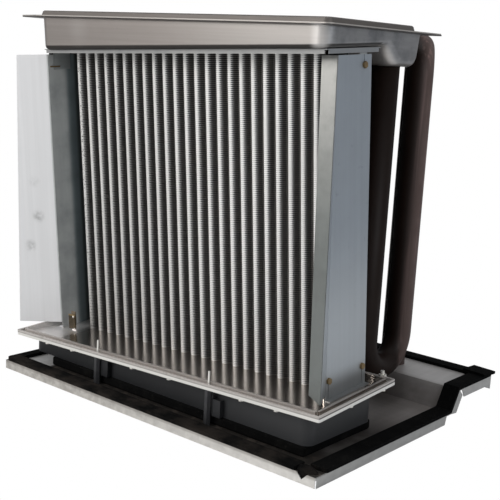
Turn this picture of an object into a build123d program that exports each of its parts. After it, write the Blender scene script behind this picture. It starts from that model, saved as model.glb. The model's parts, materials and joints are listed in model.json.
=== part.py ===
"""Condensing-furnace heat exchanger assembly standing on its vestibule panel.

Frame: +Z up, -Y the finned front, +X the right side. The origin is the middle of the
underside of the panel's flat sheet. All lengths are in millimetres.

The panel, the primary tubes and the header are square to this frame. The finned coil
between them is pitched a few degrees, so that its condensate runs down to the collector.
The coil, its tube sheets and its baffles are drawn square to the coil's own datum, which
is the middle of its front crests on top of the lower tube sheet, and coil_place sets them
all in the assembly together.
"""

import os
from math import asin, cos, hypot, pi, radians, sin

from build123d import *

os.makedirs("parts", exist_ok=True)

# ---------------------------------------------------------------- driving dimensions
sheet_gauge = 1.2           # panel, tube sheets, header pan and cover
baffle_gauge = 1.0
fit_gap = 0.2               # between plain parts that lie side by side
hole_gap = 0.15             # radial, around screws and tubes

# vestibule panel
panel_side_margin = 6.0     # beyond half the tube sheet frame's width
panel_depth = 450.0
flange_drop = 13.5
back_flange_drop = 20.0
step_rise = 31.0
step_setback = 118.0        # foot of the ramp, from the back edge
step_run = 19.0
flange_relief = 14.0        # open length of the side flange at the foot of the ramp
flange_bevel = 4.0
notch_inset = 22.0          # from the right edge
notch_half_width = 8.0
notch_drop = 8.0

# foam strips on the panel
gasket_width = 22.0
gasket_right_width = 25.0
gasket_left_width = 16.0
gasket_thickness = 5.0
gasket_corner = 9.0
patch_width = 38.0
patch_depth = 30.0
patch_thickness = 4.0

# pitch and place of the coil
coil_shift = -14.2          # from the panel's middle
coil_setback = 118.0        # from the panel's front edge
coil_lift = 55.5
coil_pitch_forward = 3.46   # degrees, top towards the front
coil_pitch_side = 2.17      # degrees, top towards the left

# finned coil
ripple_pitch = 20.55
pack_end_clearance = 63.7   # least, from the ends of the fins to the ends of the frame
ripple_depth = 9.0
crest_half_width = 4.6
crest_height = 3.2
crest_flats = 5
valley_half_width = 2.4
pack_depth = 63.0
pack_height = 444.0

# lower tube sheet and the frame that clamps it
frame_half_width = 300.0
frame_front = -91.5
frame_back = 83.0
lip_width = 3.0
lip_height = 5.5
groove_width = 4.5
inner_lip_height = 7.5
frame_web = 24.0
corner_slot = 4.0
foot_slot_length = 62.0
foot_slot_width = 6.0
foot_slot_inset = 20.0
coil_ear_y = -26.0
coil_ear_width = 10.0
coil_ear_height = 32.0

# upper tube sheet
upper_front = -30.6
upper_back = 86.0
upper_flange = 6.0

# side baffles
baffle_inset = 33.5         # from the ends of the frame
baffle_top_gap = 7.0        # below the upper tube sheet
baffle_back_top = 65.5
baffle_back_foot = 58.6
baffle_foot_width = 8.0
left_fold_y = -25.5
flare_angle = 32.7          # from the X axis
flare_foot_width = 72.0
flare_top_width = 50.0
flare_foot_z = 9.0
right_fold_top_y = -8.0
right_fold_foot_y = -33.0
right_corner_out = 17.0     # beyond the baffle's flat wall
right_corner_y = -67.0
right_corner_foot_z = 9.0
return_foot_rise = 9.0
return_foot_width = 18.0
return_top_width = 23.5
ear_width = 16.0
ear_height = 36.0
ear_drop = 30.0

# screws
screw_head_radius = 3.6
screw_head_height = 3.2
front_screw_x = (37.5, 170.0, 229.0)
side_screw_y = (-16.0, 60.0)
back_screw_x = (110.0, 229.0)
baffle_screw_head = 4.6
stud_radius = 1.5
stud_sleeve_radius = 5.0
stud_x = 112.0
stud_y = -86.4
stud_stand_out = 25.0
stud_hole = 3.6
stud_notch = 4.4

# condensate collector
collector_shift = 2.5       # from the coil's middle
collector_inset_side = 26.5
collector_inset_front = 14.5
collector_wall = 3.0
collector_corner = 14.0
seal_thickness = 14.0
seal_margin = 3.0
seal_side_margin = -4.0
seal_width = 16.0
flue_spout_x = 150.0
flue_spout_radius = 30.0
drain_spout_inset = 55.2    # from the collector's left end
drain_spout_radius = 8.0
spout_length = 20.0
lug_width = 15.0
lug_depth = 7.0
lug_height = 24.0

# header
header_left_overhang = 2.5  # beyond the ends of the upper tube sheet
header_right_overhang = 7.6
header_front_overhang = 40.1    # in front of the fins' crests, at the top
header_length = 220.0
header_rise = 35.6          # rim above the middle of the fins' crests
header_corner = 18.0
header_draft = 3.0
header_bevel = 4.0
pocket_setback = 148.0      # from the header's front
pocket_depth = 44.0
pocket_bevel = 7.0
rim_gauge = 1.5
rim_margin = 6.0
rim_left = 59.4
rim_back_overhang = 40.0
rim_corner = 10.0
cover_rise = 7.0
cover_back_inset = 20.0
cover_corner = 10.0
cover_draft = 20.0
cover_bevel = 1.5

# primary tubes
primary_count = 5
primary_radius = 19.05
primary_wall = 1.25
outlet_left_margin = 70.0   # first and last outlets, from the header's ends
outlet_right_margin = 33.0
outlet_inset = 39.0         # from the header's back wall
port_middle_x = -10.0
port_pitch = 87.0
port_setback = 58.0         # from the panel's back edge
return_share = 0.569        # of the way from the outlets to the ports
low_bend_rise = 75.0        # above the raised part of the panel
high_bend_drop = 12.2       # below the header's pocket
tube_below_panel = 12.0
bored_depth = 40.0
bend_facets = 4             # mitred lengths in each half-turn

# ---------------------------------------------------------------- derived places
half_width = frame_half_width + panel_side_margin
half_depth = panel_depth / 2
panel_width = 2 * half_width
panel_top = sheet_gauge
plateau_top = panel_top + step_rise
step_foot_y = half_depth - step_setback
step_head_y = step_foot_y + step_run
notch_x = half_width - notch_inset
coil_datum = (coil_shift, coil_setback - half_depth, coil_lift)
coil_place = Pos(*coil_datum) * Rot(Y=-coil_pitch_side) * Rot(X=coil_pitch_forward)
clear_reach = 2 * (panel_width + panel_depth)

sheet_bottom = -sheet_gauge
frame_bottom = sheet_bottom - sheet_gauge
frame_length = frame_back - frame_front
frame_middle_y = (frame_front + frame_back) / 2
sheet_inset = lip_width + fit_gap
inner_lip_inset = lip_width + groove_width
screw_inset = lip_width + groove_width / 2
foot_slot_x = frame_half_width - foot_slot_inset
baffle_x = frame_half_width - baffle_inset
baffle_top = pack_height - baffle_top_gap
upper_half_width = baffle_x
upper_bottom = pack_height
upper_top = upper_bottom + sheet_gauge
upper_middle_y = (upper_front + upper_back) / 2
upper_length = upper_back - upper_front
ripple_count = round(2 * (frame_half_width - pack_end_clearance) / ripple_pitch)
ripples = [(i - (ripple_count - 1) / 2) * ripple_pitch for i in range(ripple_count)]
coil_ear = (ripples[0] - ripple_pitch / 2, coil_ear_y)

coil_top = (coil_place * Pos(0, 0, upper_top)).position
header_left = coil_top.X - upper_half_width - header_left_overhang
header_right = coil_top.X + upper_half_width + header_right_overhang
header_front = coil_top.Y - header_front_overhang
header_back = header_front + header_length
header_rim_z = coil_top.Z + header_rise
pocket_front = header_front + pocket_setback
pocket_floor_z = header_rim_z - pocket_depth
rim_back_y = header_back + rim_back_overhang
cover_back = header_back - cover_back_inset

outlet_y = header_back - outlet_inset
port_y = half_depth - port_setback
return_y = outlet_y + return_share * (port_y - outlet_y)
low_bend_z = plateau_top + low_bend_rise
high_bend_z = pocket_floor_z - high_bend_drop
first_outlet_x = header_left + outlet_left_margin
last_outlet_x = header_right - outlet_right_margin
outlet_pitch = (last_outlet_x - first_outlet_x) / (primary_count - 1)
outlet_spots = [(first_outlet_x + i * outlet_pitch, outlet_y) for i in range(primary_count)]
return_spots = [(x, return_y) for x, _ in outlet_spots]
port_spots = [
    (port_middle_x + (i - (primary_count - 1) / 2) * port_pitch, port_y)
    for i in range(primary_count)
]

collector_x = coil_datum[0] + collector_shift
collector_y = coil_datum[1] + frame_middle_y
collector_width = 2 * (frame_half_width - collector_inset_side)
collector_length = frame_length - 2 * collector_inset_front
collector_foot = panel_top + seal_thickness
drain_spout_x = collector_x - collector_width / 2 + drain_spout_inset


def save(piece, name, place=Location()):
    """Set a finished piece in the assembly, label it and write parts/NAME.step."""
    solid = piece.part.moved(place)
    solid.label = name
    export_step(solid, f"parts/{name}.step")


def stepped_band(low, high, y_from, y_to, x_from, x_to):
    """A band between two heights over the panel's stepped profile."""
    slope_shift = step_rise / (step_run + hypot(step_run, step_rise))
    with BuildPart() as band:
        with BuildSketch(Plane.YZ.offset(x_from)):
            with BuildLine():
                lines = []
                for lift in (low, high):
                    shift = -lift * slope_shift
                    lines.append(
                        [
                            (y_from, panel_top + lift),
                            (step_foot_y + shift, panel_top + lift),
                            (step_head_y + shift, plateau_top + lift),
                            (y_to, plateau_top + lift),
                        ]
                    )
                Polyline(*lines[0], *reversed(lines[1]), close=True)
            make_face()
        extrude(amount=x_to - x_from)
    return band.part


def plate(corners, gauge):
    """A flat sheet of the given gauge centred on a polygon in space."""
    face = Face(Wire.make_polygon(corners))
    half = face.normal_at() * (gauge / 2)
    return Solid.extrude(face.moved(Location(-half)), half * 2)


def coil_block(low_z, high_z):
    """A block square to the coil, wider than the assembly, between two coil heights."""
    with BuildPart() as block:
        with Locations((0, 0, (low_z + high_z) / 2)):
            Box(clear_reach, clear_reach, high_z - low_z)
    return block.part.moved(coil_place)


# ---------------------------------------------------------------- vestibule panel
with BuildPart() as vest_panel:
    add(stepped_band(-sheet_gauge, 0, -half_depth, half_depth, -half_width, half_width))
    # front and back flanges
    with Locations((0, -half_depth + sheet_gauge / 2, panel_top - flange_drop / 2)):
        Box(panel_width, sheet_gauge, flange_drop)
    with Locations((0, half_depth - sheet_gauge / 2, plateau_top - back_flange_drop / 2)):
        Box(panel_width, sheet_gauge, back_flange_drop)
    # each side flange is in three pieces, parted where the sheet is bent at the ramp
    ramp_length = hypot(step_run, step_rise)
    along_y = step_run / ramp_length
    along_z = step_rise / ramp_length
    for side_x in (-half_width, half_width - sheet_gauge):
        with BuildSketch(Plane.YZ.offset(side_x)):
            flat_end = step_foot_y - flange_relief
            with BuildLine():
                Polyline(
                    (-half_depth, panel_top),
                    (flat_end, panel_top),
                    (flat_end - flange_bevel, panel_top - flange_drop),
                    (-half_depth, panel_top - flange_drop),
                    close=True,
                )
            make_face()
            with BuildLine():
                ramp_start = (step_foot_y, panel_top)
                ramp_end = (step_head_y, plateau_top)
                drop_y = along_z * flange_drop
                drop_z = -along_y * flange_drop
                Polyline(
                    ramp_start,
                    ramp_end,
                    (ramp_end[0] + drop_y - 3 * along_y, ramp_end[1] + drop_z - 3 * along_z),
                    (ramp_start[0] + drop_y + 5 * along_y, ramp_start[1] + drop_z + 5 * along_z),
                    (ramp_start[0], ramp_start[1] - sheet_gauge),
                    close=True,
                )
            make_face()
            with BuildLine():
                high_start = step_head_y + flange_relief / 2
                Polyline(
                    (high_start, plateau_top),
                    (half_depth, plateau_top),
                    (half_depth, plateau_top - back_flange_drop),
                    (half_depth - 4 * flange_bevel, plateau_top - flange_drop),
                    (high_start + 2 * flange_bevel, plateau_top - flange_drop),
                    close=True,
                )
            make_face()
        extrude(amount=sheet_gauge)
    # drain notch in the front edge
    with BuildSketch(Plane.XZ.offset(half_depth + 1)):
        with BuildLine():
            Polyline(
                (notch_x - notch_half_width, panel_top + 1),
                (notch_x - notch_half_width, panel_top),
                (notch_x, panel_top - notch_drop),
                (notch_x + notch_half_width, panel_top),
                (notch_x + notch_half_width, panel_top + 1),
                close=True,
            )
        make_face()
    extrude(amount=-(notch_half_width + 2), mode=Mode.SUBTRACT)
    # burner ports in the raised part, openings for the collector's spouts
    with Locations(*[(x, y, plateau_top) for x, y in port_spots]):
        Cylinder(primary_radius + hole_gap, 4 * sheet_gauge, mode=Mode.SUBTRACT)
    with Locations((flue_spout_x, collector_y, panel_top)):
        Cylinder(flue_spout_radius + 3, 4 * sheet_gauge, mode=Mode.SUBTRACT)
    with Locations((drain_spout_x, collector_y, panel_top)):
        Cylinder(drain_spout_radius + 2, 4 * sheet_gauge, mode=Mode.SUBTRACT)
save(vest_panel, "vest_panel")

# ---------------------------------------------------------------- foam strips
with BuildPart() as gasket_front:
    strip_start = -half_width + gasket_left_width
    strip_end = notch_x - notch_half_width - 4
    strip_x = (strip_start + strip_end) / 2
    with Locations((strip_x, -half_depth + gasket_width / 2, panel_top + gasket_thickness / 2)):
        Box(strip_end - strip_start, gasket_width, gasket_thickness)
save(gasket_front, "gasket_front")

with BuildPart() as gasket_back:
    strip_end = half_width - gasket_right_width
    strip_x = (strip_start + strip_end) / 2
    with Locations((strip_x, half_depth - gasket_width / 2, plateau_top + gasket_thickness / 2)):
        Box(strip_end - strip_start, gasket_width, gasket_thickness)
save(gasket_back, "gasket_back")

with BuildPart() as gasket_left:
    add(
        stepped_band(
            0,
            gasket_thickness,
            -half_depth,
            half_depth,
            -half_width,
            -half_width + gasket_left_width,
        )
    )
    corner = gasket_left.edges().filter_by(Axis.Z).group_by(Axis.Y)[0].sort_by(Axis.X)[0]
    fillet(corner, gasket_corner)
save(gasket_left, "gasket_left")

with BuildPart() as gasket_right:
    add(
        stepped_band(
            0,
            gasket_thickness,
            -half_depth + gasket_width,
            half_depth,
            half_width - gasket_right_width,
            half_width,
        )
    )
    corner = gasket_right.edges().filter_by(Axis.Z).group_by(Axis.Y)[0].sort_by(Axis.X)[-1]
    fillet(corner, gasket_corner / 2)
save(gasket_right, "gasket_right")

with BuildPart() as gasket_patch:
    patch_z = plateau_top + gasket_thickness + patch_thickness / 2
    patch_spot = (half_width - patch_width / 2 + 4, half_depth - patch_depth / 2 + 3, patch_z)
    with Locations(Location(patch_spot, (0, 0, -6))):
        Box(patch_width, patch_depth, patch_thickness)
save(gasket_patch, "gasket_patch")

# ---------------------------------------------------------------- condensate collector
with BuildPart() as collector_seal:
    with BuildSketch(Plane.XY.offset(panel_top)):
        with Locations((collector_x, collector_y)):
            outer_width = collector_width + 2 * seal_side_margin
            outer_length = collector_length + 2 * seal_margin
            RectangleRounded(outer_width, outer_length, collector_corner)
            Rectangle(
                outer_width - 2 * seal_width,
                outer_length - 2 * seal_width,
                mode=Mode.SUBTRACT,
            )
    extrude(amount=seal_thickness)
save(collector_seal, "collector_seal")

with BuildPart() as condensate_collector:
    # a moulded box with an open top, cut off square to the pitched coil
    with BuildSketch(Plane.XY.offset(collector_foot)):
        with Locations((collector_x, collector_y)):
            RectangleRounded(collector_width, collector_length, collector_corner)
    extrude(amount=2 * coil_lift)
    # bosses beside the two mounting studs
    for side in (-1, 1):
        boss_x = coil_datum[0] + side * stud_x + stud_sleeve_radius + 8
        boss_y = collector_y - collector_length / 2 - lug_depth / 2 + 1
        with Locations((boss_x, boss_y, collector_foot + lug_height / 2)):
            Box(lug_width, lug_depth + 2, lug_height)
    with BuildSketch(Plane.XY.offset(collector_foot + collector_wall)):
        with Locations((collector_x, collector_y)):
            RectangleRounded(
                collector_width - 2 * collector_wall,
                collector_length - 2 * collector_wall,
                collector_corner - collector_wall,
            )
    extrude(amount=2 * coil_lift, mode=Mode.SUBTRACT)
    add(coil_block(frame_bottom, pack_height), mode=Mode.SUBTRACT)
    # flue and drain spouts through the panel
    spouts = [(flue_spout_x, flue_spout_radius), (drain_spout_x, drain_spout_radius)]
    for spout_x, spout_radius in spouts:
        spout_top = collector_foot + collector_wall
        spout_z = spout_top - (spout_length + collector_wall) / 2
        with Locations((spout_x, collector_y, spout_z)):
            Cylinder(spout_radius, spout_length + collector_wall)
            Cylinder(
                spout_radius - collector_wall,
                spout_length + collector_wall,
                mode=Mode.SUBTRACT,
            )
save(condensate_collector, "condensate_collector")

with BuildPart() as mounting_studs:
    for side in (-1, 1):
        rim = (coil_place * Pos(side * stud_x, stud_y, frame_bottom)).position
        # a hexagonal spacer under the frame, cut off square to the pitched coil
        with BuildSketch(Plane.XY.offset(panel_top)):
            with Locations((rim.X, rim.Y)):
                RegularPolygon(stud_sleeve_radius, 6)
        extrude(amount=rim.Z - panel_top + stud_sleeve_radius)
    add(coil_block(frame_bottom, pack_height), mode=Mode.SUBTRACT)
    for side in (-1, 1):
        rim = (coil_place * Pos(side * stud_x, stud_y, frame_bottom)).position
        rod_height = rim.Z + stud_stand_out - panel_top
        with Locations((rim.X, rim.Y, panel_top + rod_height / 2)):
            Cylinder(stud_radius, rod_height)
save(mounting_studs, "mounting_studs")

# ---------------------------------------------------------------- tube sheet frame
frame_screw_spots = [
    (side * x, frame_front + screw_inset) for x in front_screw_x for side in (-1, 1)
]
frame_screw_spots += [
    (side * x, frame_back - screw_inset) for x in back_screw_x for side in (-1, 1)
]
frame_screw_spots += [
    (side * (frame_half_width - screw_inset), y) for y in side_screw_y for side in (-1, 1)
]
stud_spots = [(side * stud_x, stud_y) for side in (-1, 1)]

with BuildPart() as sheet_frame:
    with BuildSketch(Plane.XY.offset(frame_bottom)):
        with Locations((0, frame_middle_y)):
            RectangleRounded(2 * frame_half_width, frame_length, lip_width)
            Rectangle(
                2 * (frame_half_width - frame_web),
                frame_length - 2 * frame_web,
                mode=Mode.SUBTRACT,
            )
        with Locations(*stud_spots):
            Rectangle(stud_hole, stud_hole, mode=Mode.SUBTRACT)
    extrude(amount=sheet_gauge)
    with BuildSketch(Plane.XY.offset(sheet_bottom)):
        with Locations((0, frame_middle_y)):
            RectangleRounded(2 * frame_half_width, frame_length, lip_width)
            Rectangle(
                2 * (frame_half_width - lip_width),
                frame_length - 2 * lip_width,
                mode=Mode.SUBTRACT,
            )
    extrude(amount=lip_height - sheet_bottom)
save(sheet_frame, "sheet_frame", coil_place)

# ---------------------------------------------------------------- lower tube sheet
ear_x = baffle_x - baffle_gauge - fit_gap - sheet_gauge / 2
lower_ears = ((1, -26.0), (1, 50.0), (-1, 50.0))
ear_screw_z = 26.0

with BuildPart() as lower_tube_sheet:
    with BuildSketch(Plane.XY.offset(sheet_bottom)):
        with Locations((0, frame_middle_y)):
            Rectangle(2 * (frame_half_width - sheet_inset), frame_length - 2 * sheet_inset)
        with Locations(*stud_spots):
            Rectangle(stud_hole, stud_notch, mode=Mode.SUBTRACT)
        with Locations(*[(side * foot_slot_x, -5) for side in (-1, 1)]):
            Rectangle(foot_slot_width, foot_slot_length, mode=Mode.SUBTRACT)
    extrude(amount=sheet_gauge)
    # hemmed lip on all four sides, open at the corners
    lip_run_x = 2 * (frame_half_width - inner_lip_inset) - 2 * corner_slot
    lip_run_y = frame_length - 2 * inner_lip_inset - 2 * corner_slot
    lip_edge = inner_lip_inset + lip_width / 2
    for lip_y in (frame_front + lip_edge, frame_back - lip_edge):
        with Locations((0, lip_y, inner_lip_height / 2)):
            Box(lip_run_x, lip_width, inner_lip_height)
    for side in (-1, 1):
        lip_x = side * (frame_half_width - lip_edge)
        with Locations((lip_x, frame_middle_y, inner_lip_height / 2)):
            Box(lip_width, lip_run_y, inner_lip_height)
    # ears turned up for the baffles and for the coil
    for side, y in lower_ears:
        with Locations((side * ear_x, y, ear_height / 2)):
            Box(sheet_gauge, ear_width, ear_height)
    with Locations((*coil_ear, coil_ear_height / 2)):
        Box(coil_ear_width, sheet_gauge, coil_ear_height)
save(lower_tube_sheet, "lower_tube_sheet", coil_place)

# ---------------------------------------------------------------- finned coil
# each crest is a round arc, drawn in flats of equal length
crest_radius = (crest_half_width**2 + crest_height**2) / (2 * crest_height)
crest_angle = asin(crest_half_width / crest_radius)
crest_corners = []
for i in range(crest_flats + 1):
    angle = crest_angle * (2 * i / crest_flats - 1)
    crest_corners.append((crest_radius * sin(angle), crest_radius * (1 - cos(angle))))

with BuildPart() as fin_pack:
    with BuildSketch(Plane.XY):
        with BuildLine():
            left_end = ripples[0] - ripple_pitch / 2
            right_end = ripples[-1] + ripple_pitch / 2
            here = (left_end, ripple_depth)
            for x in ripples:
                valley = (x - ripple_pitch / 2 + valley_half_width, ripple_depth)
                next_valley = (x + ripple_pitch / 2 - valley_half_width, ripple_depth)
                crest = [(x + across, inwards) for across, inwards in crest_corners]
                Polyline(here, valley, *crest, next_valley)
                here = next_valley
            Polyline(
                here,
                (right_end, ripple_depth),
                (right_end, pack_depth),
                (left_end, pack_depth),
                (left_end, ripple_depth),
            )
        make_face()
    extrude(amount=pack_height)
save(fin_pack, "fin_pack", coil_place)

# ---------------------------------------------------------------- upper tube sheet
upper_ears = ((1, 49.0), (-1, 0.0), (-1, 49.0))
upper_screw_z = pack_height - 20

with BuildPart() as upper_tube_sheet:
    with BuildSketch(Plane.XY.offset(upper_bottom)):
        with Locations((0, upper_middle_y)):
            Rectangle(2 * upper_half_width, upper_length)
    extrude(amount=sheet_gauge)
    flange_z = upper_top - upper_flange / 2
    for y in (upper_front + sheet_gauge / 2, upper_back - sheet_gauge / 2):
        with Locations((0, y, flange_z)):
            Box(2 * upper_half_width - 2 * corner_slot, sheet_gauge, upper_flange)
    for side in (-1, 1):
        with Locations((side * (upper_half_width - sheet_gauge / 2), upper_middle_y, flange_z)):
            Box(sheet_gauge, upper_length - 2 * corner_slot, upper_flange)
    for side, y in upper_ears:
        with Locations((side * ear_x, y, upper_bottom - ear_drop / 2)):
            Box(sheet_gauge, 2 * ear_width if y == 0 else ear_width, ear_drop)
save(upper_tube_sheet, "upper_tube_sheet", coil_place)

# ---------------------------------------------------------------- side baffles
ear_screws = [(side * baffle_x, y, ear_screw_z) for side, y in lower_ears]
ear_screws += [(side * baffle_x, y, upper_screw_z) for side, y in upper_ears]


def baffle_wall(side, fold_top, fold_foot):
    """The flat part of a baffle against the coil's ears, with its foot and screw slots."""
    middle = side * (baffle_x - baffle_gauge / 2)
    with BuildPart() as wall:
        add(
            plate(
                [
                    (middle, fold_top, baffle_top),
                    (middle, baffle_back_top, baffle_top),
                    (middle, baffle_back_foot, 0),
                    (middle, fold_foot, 0),
                ],
                baffle_gauge,
            )
        )
        foot_x = side * (baffle_x - baffle_gauge + baffle_foot_width / 2)
        foot_y = (fold_foot + baffle_back_foot) / 2
        with Locations((foot_x, foot_y, baffle_gauge / 2)):
            Box(baffle_foot_width, baffle_back_foot - fold_foot, baffle_gauge)
        for x, y, z in ear_screws:
            if x * side > 0:
                slot_end = baffle_top + 1 if z > pack_height / 2 else 2.0
                with Locations((x, y, (z + slot_end) / 2)):
                    Box(6, 1.2, abs(slot_end - z), mode=Mode.SUBTRACT)
    return wall.part


with BuildPart() as baffle_left:
    add(baffle_wall(-1, left_fold_y, left_fold_y))
    fold_x = -baffle_x + baffle_gauge / 2
    out_x = -cos(radians(flare_angle))
    out_y = -sin(radians(flare_angle))
    add(
        plate(
            [
                (fold_x, left_fold_y, flare_foot_z),
                (fold_x, left_fold_y, baffle_top),
                (
                    fold_x + out_x * flare_top_width,
                    left_fold_y + out_y * flare_top_width,
                    baffle_top,
                ),
                (
                    fold_x + out_x * flare_foot_width,
                    left_fold_y + out_y * flare_foot_width,
                    flare_foot_z,
                ),
            ],
            baffle_gauge,
        )
    )
save(baffle_left, "baffle_left", coil_place)

with BuildPart() as baffle_right:
    add(baffle_wall(1, right_fold_top_y, right_fold_foot_y))
    apex = Vector(baffle_x - baffle_gauge / 2, right_fold_top_y, baffle_top)
    fold_foot = Vector(baffle_x - baffle_gauge / 2, right_fold_foot_y, flare_foot_z - 1)
    corner_foot = Vector(baffle_x + right_corner_out, right_corner_y, right_corner_foot_z)
    add(plate([apex, fold_foot, corner_foot], baffle_gauge))
    # the return flange faces the front and narrows towards its foot
    climb = return_foot_rise / (apex.Z - corner_foot.Z)
    return_foot = corner_foot + (apex - corner_foot) * climb - Vector(return_foot_width, 0, 0)
    return_top = apex - Vector(return_top_width, 0, 0)
    add(plate([apex, corner_foot, return_foot, return_top], baffle_gauge))
save(baffle_right, "baffle_right", coil_place)

# ---------------------------------------------------------------- screws
with BuildPart() as frame_screws:
    with BuildSketch(Plane.XY.offset(frame_bottom - screw_head_height)):
        with Locations(*frame_screw_spots):
            RegularPolygon(screw_head_radius, 6)
    extrude(amount=screw_head_height)
save(frame_screws, "frame_screws", coil_place)

with BuildPart() as baffle_screws:
    for x, y, z in ear_screws:
        side = 1 if x > 0 else -1
        with BuildSketch(Plane((x, y, z), z_dir=(side, 0, 0))):
            RegularPolygon(baffle_screw_head, 6)
        extrude(amount=screw_head_height)
save(baffle_screws, "baffle_screws", coil_place)


# ---------------------------------------------------------------- header pan
def drawn_block(inset, front, floor_z):
    """A block drafted downwards from the header's rim, rounded at its upright corners."""
    width = header_right - header_left - 2 * inset
    length = header_back - front - 2 * inset
    with BuildPart() as block:
        with BuildSketch(Plane.XY.offset(header_rim_z)):
            with Locations(((header_left + header_right) / 2, (front + header_back) / 2)):
                RectangleRounded(width, length, header_corner - inset)
        extrude(amount=floor_z + inset - header_rim_z, taper=header_draft)
    return block.part


def pan_form(inset, pocket_size, shallow_size):
    """The drawn pan's outer form, or its inner form when inset is the sheet's gauge."""
    with BuildPart() as shallow:
        add(drawn_block(inset, header_front, pocket_floor_z - pocket_depth))
        add(coil_block(0, upper_top + inset), mode=Mode.SUBTRACT)
        chamfer(shallow.faces().sort_by(Axis.Z)[0].edges(), shallow_size)
    with BuildPart() as pocket:
        add(drawn_block(inset, pocket_front, pocket_floor_z))
        chamfer(pocket.faces().sort_by(Axis.Z)[0].edges(), pocket_size)
    return shallow.part + pocket.part


def rim_plate(height, gauge):
    """The flat rim where pan and cover are clinched, wide at the left and at the back."""
    with BuildPart() as rim:
        with BuildSketch(Plane.XY.offset(height)) as outline:
            with BuildLine():
                Polyline(
                    (header_left - rim_left, header_front + 2 * rim_margin),
                    (header_left, header_front - rim_margin),
                    (header_right + rim_margin, header_front - rim_margin),
                    (header_right + rim_margin, rim_back_y),
                    (header_left - rim_left, rim_back_y),
                    close=True,
                )
            make_face()
            fillet(outline.vertices(), radius=rim_corner)
        extrude(amount=gauge)
    return rim.part


with BuildPart() as header_pan:
    add(pan_form(0, pocket_bevel, header_bevel))
    add(rim_plate(header_rim_z, rim_gauge))
    bevel_loss = sheet_gauge / 2
    inner_form = pan_form(sheet_gauge, pocket_bevel - bevel_loss, header_bevel - bevel_loss)
    add(inner_form, mode=Mode.SUBTRACT)
    with BuildSketch(Plane.XY.offset(header_rim_z)):
        with Locations(((header_left + header_right) / 2, (header_front + header_back) / 2)):
            RectangleRounded(
                header_right - header_left - 2 * sheet_gauge,
                header_back - header_front - 2 * sheet_gauge,
                header_corner - sheet_gauge,
            )
    extrude(amount=rim_gauge, mode=Mode.SUBTRACT)
    # opening over the ends of the coil's tubes
    with BuildPart(mode=Mode.PRIVATE) as coil_opening:
        with Locations((0, pack_depth / 2, upper_top)):
            Box(2 * ripples[-1] + ripple_pitch, pack_depth - 2 * ripple_depth, 4 * sheet_gauge)
    add(coil_opening.part.moved(coil_place), mode=Mode.SUBTRACT)
save(header_pan, "header_pan")

with BuildPart() as header_cover:
    cover_z = header_rim_z + rim_gauge
    add(rim_plate(cover_z, rim_gauge))
    cover_middle = ((header_left + header_right) / 2, (header_front + cover_back) / 2)
    cover_size = (header_right - header_left, cover_back - header_front)
    with BuildSketch(Plane.XY.offset(cover_z + rim_gauge)):
        with Locations(cover_middle):
            RectangleRounded(*cover_size, cover_corner)
    extrude(amount=cover_rise, taper=cover_draft)
    chamfer(header_cover.faces().sort_by(Axis.Z)[-1].edges(), cover_bevel)
    with BuildSketch(Plane.XY.offset(cover_z)):
        with Locations(cover_middle):
            RectangleRounded(
                cover_size[0] - 4 * sheet_gauge,
                cover_size[1] - 4 * sheet_gauge,
                cover_corner - 2 * sheet_gauge,
            )
    extrude(amount=rim_gauge + cover_rise - sheet_gauge, taper=cover_draft, mode=Mode.SUBTRACT)
save(header_cover, "header_cover")

# ---------------------------------------------------------------- primary tubes
def bend_points(start, end, height, up):
    """Corners of a mitred half-turn from start to end, its facets touching the true arc."""
    middle = Vector((start[0] + end[0]) / 2, (start[1] + end[1]) / 2, height)
    reach = Vector(start[0], start[1], height) - middle
    corner_radius = reach.length / cos(pi / bend_facets / 2)
    points = []
    for i in range(bend_facets):
        angle = pi * (i + 0.5) / bend_facets
        out = reach.normalized() * (corner_radius * cos(angle))
        points.append(middle + out + Vector(0, 0, up * corner_radius * sin(angle)))
    return points


def in_front_of(corner, direction):
    """A block that fills the space in front of a plane, wider than the assembly."""
    with BuildPart() as block:
        with Locations((0, 0, clear_reach / 2)):
            Box(clear_reach, clear_reach, clear_reach)
    return block.part.moved(Plane(corner, z_dir=direction).location)


def tube_run(route, first, last):
    """A run of the tube between two corners of its route, cut at their mitres."""
    points = list(route[first : last + 1])
    into = (points[1] - points[0]).normalized()
    out = (points[-1] - points[-2]).normalized()
    cuts = []
    if first > 0:
        before = (route[first] - route[first - 1]).normalized()
        cuts.append(in_front_of(route[first], -(before + into)))
        points[0] = points[0] - into * 2 * primary_radius
    if last < len(route) - 1:
        after = (route[last + 1] - route[last]).normalized()
        cuts.append(in_front_of(route[last], out + after))
        points[-1] = points[-1] + out * 2 * primary_radius
    with BuildPart() as run:
        with BuildLine():
            Polyline(*points)
        with BuildSketch(Plane(points[0], z_dir=into)):
            Circle(primary_radius)
        sweep(transition=Transition.RIGHT)
        for cut in cuts:
            add(cut, mode=Mode.SUBTRACT)
        if last == len(route) - 1:
            # the burner end is open as far as a burner reaches, the rest is left solid
            with Locations(route[-1] + Vector(0, 0, bored_depth / 2)):
                Cylinder(primary_radius - primary_wall, bored_depth, mode=Mode.SUBTRACT)
    return run.part.solid()


for number, (outlet, back, port) in enumerate(zip(outlet_spots, return_spots, port_spots), 1):
    route = [
        Vector(*outlet, pocket_floor_z),
        *bend_points(outlet, back, low_bend_z, -1),
        *bend_points(back, port, high_bend_z, 1),
        Vector(*port, plateau_top - tube_below_panel),
    ]
    # three straight legs and two half-turns, which meet at mitres
    ends = [0, 1, bend_facets, bend_facets + 1, 2 * bend_facets, 2 * bend_facets + 1]
    primary_tube = Compound([tube_run(route, *pair) for pair in zip(ends, ends[1:])])
    primary_tube.label = f"primary_tube_{number}"
    export_step(primary_tube, f"parts/primary_tube_{number}.step")
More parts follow.
